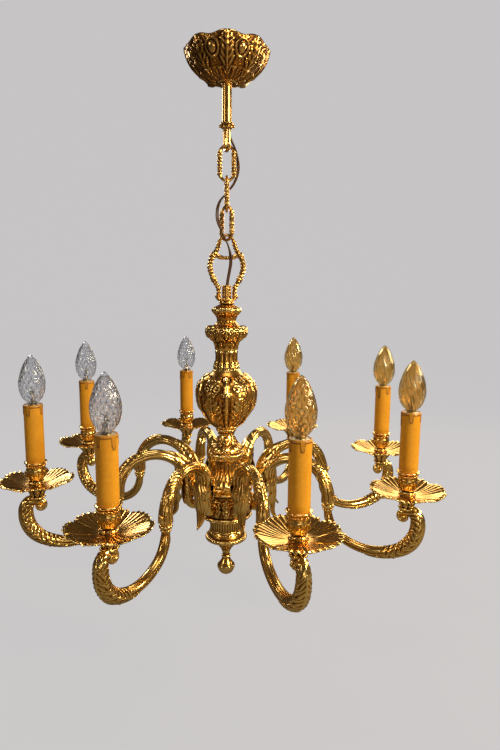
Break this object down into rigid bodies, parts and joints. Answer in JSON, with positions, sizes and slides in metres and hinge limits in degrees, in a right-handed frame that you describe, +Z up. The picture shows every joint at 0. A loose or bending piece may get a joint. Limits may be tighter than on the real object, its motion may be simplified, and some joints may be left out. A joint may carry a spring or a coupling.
{
  "type": "multi arm chandelier",
  "caption": "Cast brass chandelier hung on a short chain: S-scroll arms with drip pans and candle sleeves around a vase column, under a bowl canopy.",
  "frame": {"origin": "centre of the ceiling bracket's upper face, in the ceiling plane on the column's axis", "axes": "+Z up along the column's axis; +X to the right and -Y towards the viewer of the front"},
  "size_m": [0.6462, 0.6462, 0.8074],
  "materials": {
    "antique_brass": "cast, patinated and polished on the high parts",
    "zinc_steel": "zinc plated",
    "insulator": "moulded",
    "candle_sleeve": "wax-like, satin",
    "lamp_glass": "clear, twisted facets",
    "flex_sheath": "brown twin flex"
  },
  "bodies": {
    "ceiling": {"ceiling_bracket": "zinc_steel", "bracket_nuts": "zinc_steel", "terminal_block": "insulator", "stem_tube": "antique_brass", "suspension_eye": "antique_brass", "flex_1": "flex_sheath"},
    "canopy": {"canopy": "antique_brass", "canopy_grip_screw": "zinc_steel"},
    "link_1": {"link_1": "antique_brass", "flex_2": "flex_sheath"},
    "link_2": {"link_2": "antique_brass", "flex_3": "flex_sheath"},
    "link_3": {"link_3": "antique_brass", "flex_4": "flex_sheath"},
    "fixture": {"hanging_bow": "antique_brass", "bow_cup": "antique_brass", "crown": "antique_brass", "fluted_neck": "antique_brass", "vase": "antique_brass", "vase_collar": "antique_brass", "bell": "antique_brass", "flare": "antique_brass", "hub_drum": "antique_brass", "basket": "antique_brass", "dish": "antique_brass", "finial": "antique_brass", "tie_rod": "zinc_steel", "tie_rod_nuts": "zinc_steel", "wire_connectors": "insulator", "arm_nuts": "zinc_steel", "arm_wires": "flex_sheath", "arm_1": "antique_brass", "arm_2": "antique_brass", "arm_3": "antique_brass", "arm_4": "antique_brass", "arm_5": "antique_brass", "arm_6": "antique_brass", "arm_7": "antique_brass", "arm_8": "antique_brass", "drip_pan_1": "antique_brass", "drip_pan_2": "antique_brass", "drip_pan_3": "antique_brass", "drip_pan_4": "antique_brass", "drip_pan_5": "antique_brass", "drip_pan_6": "antique_brass", "drip_pan_7": "antique_brass", "drip_pan_8": "antique_brass", "candle_cups": "antique_brass", "candle_sleeves": "candle_sleeve", "lamp_nipples": "zinc_steel", "lampholders": "insulator"},
    "lamp_1": {"lamp_1": "lamp_glass"},
    "lamp_2": {"lamp_2": "lamp_glass"},
    "lamp_3": {"lamp_3": "lamp_glass"},
    "lamp_4": {"lamp_4": "lamp_glass"},
    "lamp_5": {"lamp_5": "lamp_glass"},
    "lamp_6": {"lamp_6": "lamp_glass"},
    "lamp_7": {"lamp_7": "lamp_glass"},
    "lamp_8": {"lamp_8": "lamp_glass"}
  },
  "joints": [
    {"name": "canopy_slide", "type": "slide", "parent": "ceiling", "child": "canopy", "axis": [0, 0, -1], "range_m": [0, 0.03]},
    {"name": "link_1_swing", "type": "hinge", "parent": "ceiling", "child": "link_1", "pos_m": [0, 0, -0.1426], "axis": [-0.342, 0.9397, 0], "range_deg": [-8, 8], "deforming": ["flex_1"]},
    {"name": "link_2_swing", "type": "hinge", "parent": "link_1", "child": "link_2", "pos_m": [0, 0, -0.1858], "axis": [1, 0, 0], "range_deg": [-8, 8], "deforming": ["flex_2"]},
    {"name": "link_3_swing", "type": "hinge", "parent": "link_2", "child": "link_3", "pos_m": [0, 0, -0.2295], "axis": [0, 1, 0], "range_deg": [-8, 8], "deforming": ["flex_3"]},
    {"name": "bow_swing", "type": "hinge", "parent": "link_3", "child": "fixture", "pos_m": [0, 0, -0.272], "axis": [-0.7071, 0.7071, 0], "range_deg": [-8, 8], "deforming": ["flex_4"]},
    {"name": "lamp_1_screw", "type": "hinge", "parent": "fixture", "child": "lamp_1", "pos_m": [0.08132, -0.27106, -0.507], "axis": [0, 0, 1], "range_deg": [0, 1080]},
    {"name": "lamp_2_screw", "type": "hinge", "parent": "fixture", "child": "lamp_2", "pos_m": [0.24918, -0.13417, -0.507], "axis": [0, 0, 1], "range_deg": [0, 1080]},
    {"name": "lamp_3_screw", "type": "hinge", "parent": "fixture", "child": "lamp_3", "pos_m": [0.27106, 0.08132, -0.507], "axis": [0, 0, 1], "range_deg": [0, 1080]},
    {"name": "lamp_4_screw", "type": "hinge", "parent": "fixture", "child": "lamp_4", "pos_m": [0.13417, 0.24918, -0.507], "axis": [0, 0, 1], "range_deg": [0, 1080]},
    {"name": "lamp_5_screw", "type": "hinge", "parent": "fixture", "child": "lamp_5", "pos_m": [-0.08132, 0.27106, -0.507], "axis": [0, 0, 1], "range_deg": [0, 1080]},
    {"name": "lamp_6_screw", "type": "hinge", "parent": "fixture", "child": "lamp_6", "pos_m": [-0.24918, 0.13417, -0.507], "axis": [0, 0, 1], "range_deg": [0, 1080]},
    {"name": "lamp_7_screw", "type": "hinge", "parent": "fixture", "child": "lamp_7", "pos_m": [-0.27106, -0.08132, -0.507], "axis": [0, 0, 1], "range_deg": [0, 1080]},
    {"name": "lamp_8_screw", "type": "hinge", "parent": "fixture", "child": "lamp_8", "pos_m": [-0.13417, -0.24918, -0.507], "axis": [0, 0, 1], "range_deg": [0, 1080]}
  ]
}
